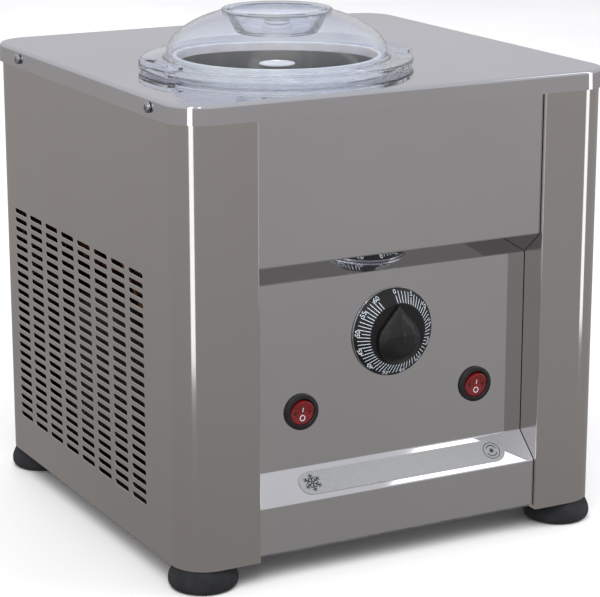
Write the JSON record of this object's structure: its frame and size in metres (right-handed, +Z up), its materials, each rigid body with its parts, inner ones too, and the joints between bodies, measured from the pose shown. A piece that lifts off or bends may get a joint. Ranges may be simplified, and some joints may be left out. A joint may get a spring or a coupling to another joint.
{
  "type": "batch ice cream machine",
  "caption": "Countertop steel ice cream machine with a fixed freezing bowl and churning paddle under a clear lid, and a recessed front panel with a minute timer and rocker switches.",
  "frame": {"origin": "on the floor under the middle of the cabinet", "axes": "+Z up, the control panel faces -Y, +X is to the right of someone facing it"},
  "size_m": [0.3098, 0.305, 0.3375],
  "materials": {
    "mirror_steel": "polished stainless steel sheet, mirror finish",
    "brushed_steel": "brushed stainless steel sheet with a fine vertical grain",
    "zinc_steel": "zinc-plated or plain stainless hardware",
    "aluminium": "plain machined or pressed aluminium",
    "copper": "bare copper refrigerant tube",
    "rubber": "matt black moulded rubber",
    "black_plastic": "satin black moulded plastic",
    "dial_black": "black dial face with printed white minute scale and a silver rim",
    "rocker_red": "glossy translucent red plastic with white on and off marks",
    "black_paint": "black enamelled steel",
    "silver_film": "satin silver label film with dark grey function symbols",
    "foam": "rigid cream insulation foam",
    "clear_plastic": "clear moulded plastic, smooth and glossy",
    "paddle_plastic": "white food-grade plastic"
  },
  "bodies": {
    "cabinet": {"top_plate": "mirror_steel", "front_panel": "mirror_steel", "bowl": "mirror_steel", "left_side_panel": "brushed_steel", "right_side_panel": "brushed_steel", "rear_panel": "brushed_steel", "base_tray": "zinc_steel", "motor_bracket": "zinc_steel", "fan_shroud": "zinc_steel", "fan_bracket": "zinc_steel", "foot_bolt_front_left": "zinc_steel", "foot_bolt_rear_left": "zinc_steel", "foot_bolt_front_right": "zinc_steel", "foot_bolt_rear_right": "zinc_steel", "flange_screw_left_front": "zinc_steel", "flange_screw_left_rear": "zinc_steel", "flange_screw_right_front": "zinc_steel", "flange_screw_right_rear": "zinc_steel", "rear_screw_left_low": "zinc_steel", "rear_screw_left_top": "zinc_steel", "rear_screw_right_low": "zinc_steel", "rear_screw_right_top": "zinc_steel", "shaft_bearing_housing": "aluminium", "condenser": "aluminium", "evaporator_coil": "copper", "filter_drier": "copper", "discharge_pipe": "copper", "capillary_pipe": "copper", "suction_pipe": "copper", "foot_front_left": "rubber", "foot_rear_left": "rubber", "foot_front_right": "rubber", "foot_rear_right": "rubber", "drive_belt": "rubber", "run_capacitor": "black_plastic", "compressor_relay_box": "black_plastic", "timer_body": "black_plastic", "switch_housing_left": "black_plastic", "switch_housing_right": "black_plastic", "power_inlet": "black_plastic", "dial_plate": "dial_black", "paddle_motor": "black_paint", "compressor": "black_paint", "fan_motor": "black_paint", "label_strip": "silver_film", "bowl_insulation": "foam", "bowl_gasket": "paddle_plastic"},
    "lid": {"lid": "clear_plastic"},
    "lid_cap": {"lid_cap": "clear_plastic"},
    "paddle": {"paddle": "paddle_plastic", "paddle_nut": "paddle_plastic", "drive_shaft": "zinc_steel", "paddle_pulley": "aluminium"},
    "motor_rotor": {"motor_rotor_shaft": "zinc_steel", "motor_pulley": "aluminium"},
    "fan": {"fan_blade": "aluminium"},
    "timer_knob": {"timer_knob": "black_plastic", "timer_shaft": "zinc_steel"},
    "rocker_left": {"rocker_left": "rocker_red"},
    "rocker_right": {"rocker_right": "rocker_red"}
  },
  "joints": [
    {"name": "lid_lift", "type": "slide", "parent": "cabinet", "child": "lid", "axis": [0, 0, 1], "range_m": [0, 0.15]},
    {"name": "lid_cap_lift", "type": "slide", "parent": "lid", "child": "lid_cap", "axis": [0, 0, 1], "range_m": [0, 0.06]},
    {"name": "paddle_spin", "type": "hinge", "parent": "cabinet", "child": "paddle", "pos_m": [-0.031, -0.04, 0.25], "axis": [0, 0, 1], "continuous": true},
    {"name": "motor_spin", "type": "hinge", "parent": "cabinet", "child": "motor_rotor", "pos_m": [0.045, 0.1, 0.174], "axis": [0, 0, 1], "continuous": true},
    {"name": "fan_spin", "type": "hinge", "parent": "cabinet", "child": "fan", "pos_m": [0.097, 0.001, 0.095], "axis": [1, 0, 0], "continuous": true},
    {"name": "timer_turn", "type": "hinge", "parent": "cabinet", "child": "timer_knob", "pos_m": [0.002, -0.14, 0.144], "axis": [0, 1, 0], "range_deg": [0, 330]},
    {"name": "left_rocker_tilt", "type": "hinge", "parent": "cabinet", "child": "rocker_left", "pos_m": [-0.062, -0.1308, 0.1008], "axis": [-1, 0, 0], "range_deg": [0, 18]},
    {"name": "right_rocker_tilt", "type": "hinge", "parent": "cabinet", "child": "rocker_right", "pos_m": [0.064, -0.1308, 0.1008], "axis": [-1, 0, 0], "range_deg": [0, 18]}
  ],
  "couplings": [
    {"joint": "motor_spin", "follows": "paddle_spin", "ratio": 4}
  ]
}
